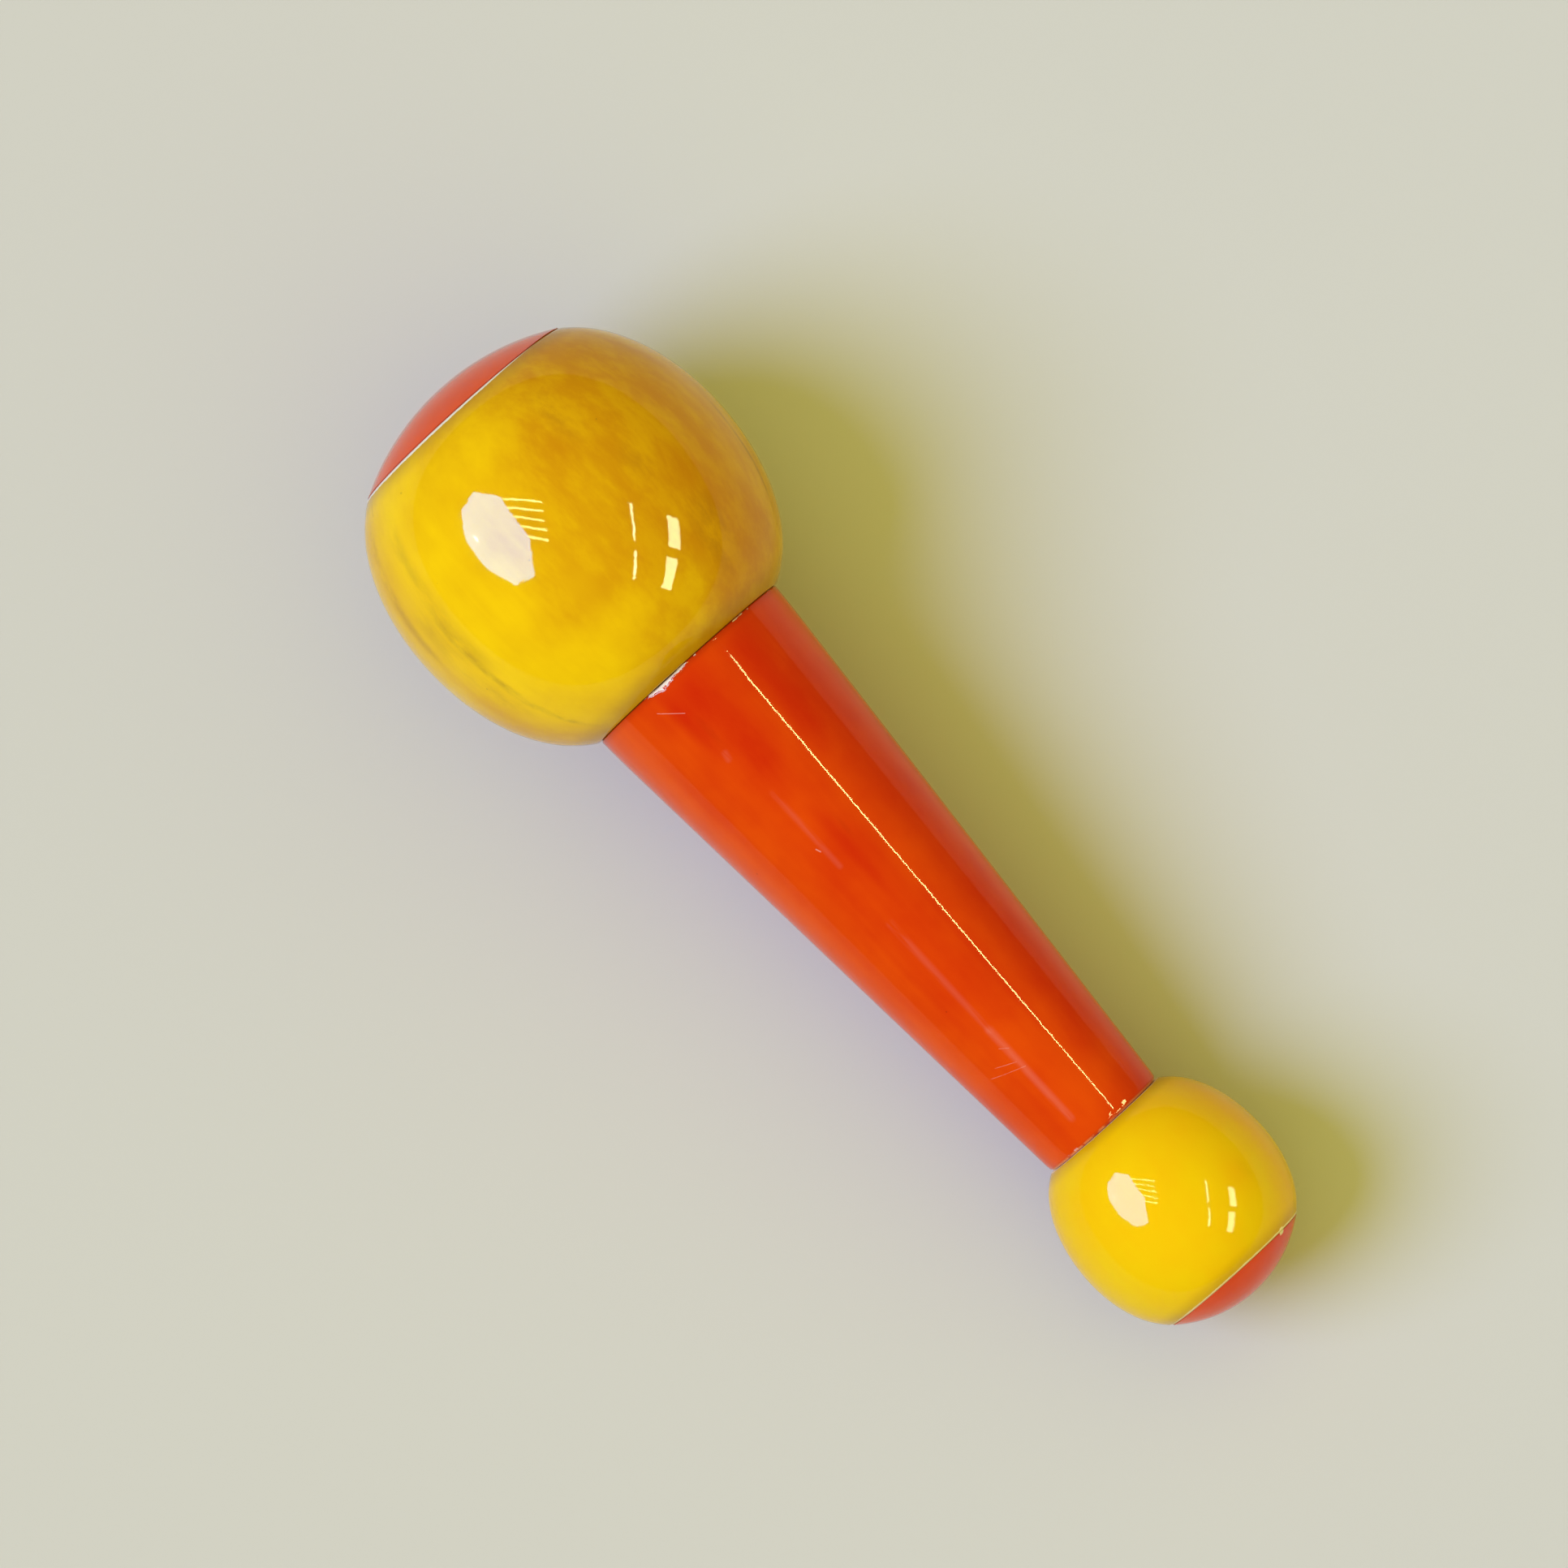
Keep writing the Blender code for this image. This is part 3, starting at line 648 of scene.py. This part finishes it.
def chipHandle(radius, height, bearing):
    chips = handle["chips"]
    fromArris = max(handleTop - height, handle["largeRadius"] - radius)
    if fromArris > chips["zone"] or radius < largeBall["tenon"] + chips["tenonClear"]:
        return radius, height, 0
    degrees = math.degrees(bearing)
    degrees = degrees - 360 if degrees > 180 else degrees
    around = Vector((math.cos(bearing), math.sin(bearing), 0)) * radius
    reach = 0
    if chips["from"] < degrees < chips["to"]:
        if degrees < chips["deepest"]:
            rise = (degrees - chips["from"]) / (chips["deepest"] - chips["from"])
        else:
            rise = (chips["to"] - degrees) / (chips["to"] - chips["deepest"])
        uneven = noise.fractal(around * chips["raggedScale"], *chips["raggedNoise"])
        reach = chips["reach"] * rise ** chips["curve"] * (1 + chips["ragged"] * uneven)
    elif chips["to"] <= degrees < chips["flecksTo"]:
        fleck = noise.noise(around * chips["fleckScale"]) * chips["fleckGain"] - chips["fleckLoss"]
        reach = chips["fleckReach"] * max(0, fleck)
    if reach <= chips["leastReach"]:
        return radius, height, 0
    amount = min(1, max(0, (reach - fromArris) / chips["soft"] + 0.5))
    depth = chips["depth"] * amount
    return radius - depth, height - depth * chips["drop"] if height > 0 else height, amount


handlePiece = turnOnLathe("turnedHandle", handleProfile(), handle["sides"], 0, 1, chipHandle)
dress(handlePiece, "rattle", "handle",
      lacquerMaterial("handleLacquer", handleRed, (handle["largeRadius"] + handle["smallRadius"]) / 2))
print("handle turned")

# loose beads: bare hardwood, each with parting nubs and three tool lines; shares are of the radius
bead = {
    "light": (0.62, 0.42, 0.23), "dark": (0.33, 0.19, 0.09), "steps": 40, "sides": 48,
    "nub": 0.16, "lineDepth": 0.012, "lineWidth": 0.03, "lineHeights": (-0.45, 0.0, 0.45),
    "clear": 0.03,                                # millimetres, inside the frame's pellet
    "tumble": (1.3, 2.1, 0.7),                    # radians more for each bead
    "grainScale": 700.0, "grainStretch": 5.0, "fibres": 0.3, "roughness": 0.45, "fibreRoughness": 0.25,
    "bump": {"Strength": 0.5, "Distance": 0.00005},
}


def beadProfile(radius):
    flat = math.sqrt(1 - bead["nub"] ** 2)
    points = []
    for step in range(bead["steps"] + 1):
        angle = math.pi * step / bead["steps"]
        height = math.cos(angle)
        groove = sum(math.exp(-((height - at) / bead["lineWidth"]) ** 2) for at in bead["lineHeights"])
        across = max(0, math.sin(angle)) * (1 - bead["lineDepth"] * groove)
        points.append((radius * across, radius * max(-flat, min(flat, height))))
    points[0] = (0, points[0][1])
    points[-1] = (0, points[-1][1])
    return points


def beadMaterial():
    material = bpy.data.materials.new("bareHardwood")
    material.use_nodes = True
    tree = material.node_tree
    shader = tree.nodes["Principled BSDF"]
    place = addNode(tree, "ShaderNodeTexCoord").outputs["Object"]
    wood = useGroup(tree, grain, place, Scale=bead["grainScale"], Stretch=bead["grainStretch"])
    colour = mixColour(tree, wood["Streaks"], bead["light"], bead["dark"])
    colour = tint(tree, wood["Fibres"], bead["fibres"], colour, bead["dark"])
    join(tree, colour, shader.inputs["Base Color"])
    dull = mathNode(tree, 'MULTIPLY_ADD', wood["Fibres"], bead["fibreRoughness"], bead["roughness"])
    join(tree, dull, shader.inputs["Roughness"])
    bump = addNode(tree, "ShaderNodeBump", bead["bump"])
    join(tree, wood["Fibres"], bump.inputs["Height"])
    join(tree, bump.outputs["Normal"], shader.inputs["Normal"])
    return material


hardwood = beadMaterial()
beadNodes = sorted(name for name in frame["nodes"] if "_pellet_" in name)
for number, node in enumerate(beadNodes):
    low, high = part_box(node)
    radius = (high.z - low.z) / 2 / mm - bead["clear"]
    piece = turnOnLathe(f"{node}_bead", beadProfile(radius), bead["sides"], 0)
    tumble = Euler([angle * number for angle in bead["tumble"]]).to_matrix().to_4x4()
    piece.matrix_world = Matrix.Translation((low + high) / 2) @ tumble
    dress(piece, node, node, hardwood)
print("beads:", len(beadNodes))

# the photograph's view: almost straight down, square to the lathe axis
# metres and degrees, with the aim in millimetres along and aside from the handle's large shoulder
photoView = {"distance": 1.25, "lean": 6.1, "turn": 47.96, "frameWidth": 0.2066, "along": -19.95,
             "aside": 1.26, "sensor": 36, "clipStart": 0.01, "clipEnd": 100}
lean = math.radians(photoView["lean"])
turn = math.radians(photoView["turn"])
photoOut = Vector((-math.sin(lean), 0, math.cos(lean)))
towardsLarge = Vector((math.cos(lean), 0, math.sin(lean)))
photoAcross = photoOut.cross(towardsLarge)
photoRight = -math.cos(turn) * towardsLarge - math.sin(turn) * photoAcross
photoUp = math.sin(turn) * towardsLarge - math.cos(turn) * photoAcross
photoAim = shoulder + (latheAxis * photoView["along"] + photoAcross * photoView["aside"]) * mm


def fromPhoto(right, up, out):
    return photoAim + photoRight * right + photoUp * up + photoOut * out


def facing(place, target):
    return (target - place).to_track_quat('-Z', 'Y').to_matrix().to_4x4()


cameraData = bpy.data.cameras.new("photoCamera")
cameraData.sensor_width = photoView["sensor"]
cameraData.lens = photoView["sensor"] * photoView["distance"] / photoView["frameWidth"]
cameraData.clip_start = photoView["clipStart"]
cameraData.clip_end = photoView["clipEnd"]
camera = bpy.data.objects.new("photoCamera", cameraData)
camera.matrix_world = Matrix.Translation(fromPhoto(0, 0, photoView["distance"])) @ Matrix(
    (photoRight, photoUp, photoOut)).transposed().to_4x4()
bpy.context.scene.collection.objects.link(camera)
bpy.context.scene.camera = camera

# plain pale floor under the lowest point of the balls
floor = {"colour": (0.54, 0.52, 0.522), "radius": 40.0, "sides": 96, "roughness": 0.65, "gloss": 0}
floorMesh = bpy.data.meshes.new("floor")
shape = bmesh.new()
bmesh.ops.create_circle(shape, cap_ends=True, segments=floor["sides"], radius=floor["radius"])
shape.to_mesh(floorMesh)
shape.free()
floorPiece = bpy.data.objects.new("floor", floorMesh)
bpy.context.view_layer.update()
lowest = [min((shell.matrix_world @ point.co).z for point in shell.data.vertices) for shell in shells]
floorPiece.location.z = min(lowest)
bpy.context.scene.collection.objects.link(floorPiece)
floorMaterial = bpy.data.materials.new("paleFloor")
floorMaterial.use_nodes = True
floorShader = floorMaterial.node_tree.nodes["Principled BSDF"]
floorShader.inputs["Base Color"].default_value = (*floor["colour"], 1)
floorShader.inputs["Roughness"].default_value = floor["roughness"]
floorShader.inputs["Specular IOR Level"].default_value = floor["gloss"]
floorMesh.materials.append(floorMaterial)

# studio light: a cool octagonal softbox on the left and warm ceiling lamps on the right
# places are metres right, up and out of the photograph from its aim; panels only show in the gloss
softbox = {"place": (-1.04, -0.18, 1.07), "radius": 0.59, "faces": (0.10, -0.24, -0.965), "roll": -11.3,
           "sides": 8, "glow": (5.5, 24.0, 45.0)}
bulb = {"place": (-1.04, -0.162, 0.838), "radius": 0.028, "glow": (120.0, 110.0, 115.0)}
thinGlow = (60.0, 74.0, 42.0)
broadGlow = (40.0, 50.0, 27.0)
ceilingLamps = {
    "thinLamp1": {"from": (0.775, 0.565, 1.25), "to": (0.70, 0.107, 1.25), "width": 0.027, "glow": thinGlow},
    "thinLamp2": {"from": (0.70, -0.013, 1.25), "to": (0.65, -0.383, 1.25), "width": 0.031, "glow": thinGlow},
    "broadLamp1": {"from": (1.38, 0.53, 1.0), "to": (1.28, 0.08, 1.0), "width": 0.19, "glow": broadGlow},
    "broadLamp2": {"from": (1.20, -0.05, 1.0), "to": (1.118, -0.505, 1.0), "width": 0.175, "glow": broadGlow},
}
louvres = {"count": 5, "from": -1.95, "to": -0.61, "first": 0.66, "step": -0.209, "out": 2.6, "width": 0.04,
           "glow": (70.0, 80.0, 28.0)}
suns = {
    "keyLight": {"place": softbox["place"], "colour": (0.475, 0.575, 1.0), "strength": 3.5, "angle": 37},
    "overheadLight": {"place": (0.35, 0.03, 0.94), "colour": (1.0, 0.96, 0.1), "strength": 1.97,
                      "angle": 116},
    "fillLight": {"place": (-1.0, -0.2, 0.45), "colour": (1.0, 0.8, 0.45), "strength": 0.5, "angle": 140},
}
roomLight = {"glow": (0.14, 0.135, 0.115), "seen": (0.647, 0.642, 0.545)}


def sunLamp(name, values):
    lamp = bpy.data.lights.new(name, 'SUN')
    lamp.color = values["colour"]
    lamp.energy = values["strength"]
    lamp.angle = math.radians(values["angle"])
    piece = bpy.data.objects.new(name, lamp)
    place = fromPhoto(*values["place"])
    piece.matrix_world = Matrix.Translation(place) @ facing(place, photoAim)
    piece.visible_glossy = False                  # the gloss mirrors the panels instead
    bpy.context.scene.collection.objects.link(piece)


def glowPanel(name, corners, glow):
    mesh = bpy.data.meshes.new(name)
    mesh.from_pydata(corners, [], [list(range(len(corners)))])
    material = bpy.data.materials.new(name)
    material.use_nodes = True
    tree = material.node_tree
    tree.nodes.remove(tree.nodes["Principled BSDF"])
    emission = addNode(tree, "ShaderNodeEmission", {"Color": (*glow, 1), "Strength": 1.0})
    join(tree, emission.outputs[0], tree.nodes["Material Output"].inputs["Surface"])
    mesh.materials.append(material)
    piece = bpy.data.objects.new(name, mesh)
    bpy.context.scene.collection.objects.link(piece)
    piece.visible_camera = False
    piece.visible_diffuse = False
    piece.visible_shadow = False


def strip(name, start, end, width, glow):
    along = (end - start).normalized()
    across = along.cross((start + end) / 2 - photoAim).normalized() * width / 2
    glowPanel(name, [start - across, start + across, end + across, end - across], glow)


softboxNormal = (fromPhoto(*softbox["faces"]) - photoAim).normalized()
softboxUp = (photoUp - softboxNormal * photoUp.dot(softboxNormal)).normalized()
softboxSide = softboxNormal.cross(softboxUp)


def octagon(centre, radius):
    turns = [math.tau * corner / softbox["sides"] for corner in range(softbox["sides"])]
    angles = [angle + math.radians(softbox["roll"]) for angle in turns]
    spokes = [softboxUp * math.cos(angle) + softboxSide * math.sin(angle) for angle in angles]
    return [centre + radius * spoke for spoke in spokes]


glowPanel("softbox", octagon(fromPhoto(*softbox["place"]), softbox["radius"]), softbox["glow"])
glowPanel("bulb", octagon(fromPhoto(*bulb["place"]), bulb["radius"]), bulb["glow"])
for name, lamp in ceilingLamps.items():
    strip(name, fromPhoto(*lamp["from"]), fromPhoto(*lamp["to"]), lamp["width"], lamp["glow"])
for number in range(louvres["count"]):
    up = louvres["first"] + louvres["step"] * number
    start = fromPhoto(louvres["from"], up, louvres["out"])
    end = fromPhoto(louvres["to"], up, louvres["out"])
    strip(f"louvre{number + 1}", start, end, louvres["width"], louvres["glow"])
for name, sun in suns.items():
    sunLamp(name, sun)

# the room: a dim glow on the object, and the floor's tone where the camera sees past the floor
world = bpy.data.worlds.new("room")
world.use_nodes = True
room = world.node_tree
cameraRay = addNode(room, "ShaderNodeLightPath").outputs["Is Camera Ray"]
roomColour = mixColour(room, cameraRay, roomLight["glow"], roomLight["seen"])
join(room, roomColour, room.nodes["Background"].inputs["Color"])
bpy.context.scene.world = world
bpy.context.scene.view_settings.view_transform = 'Standard'
print("camera, floor and lights set")
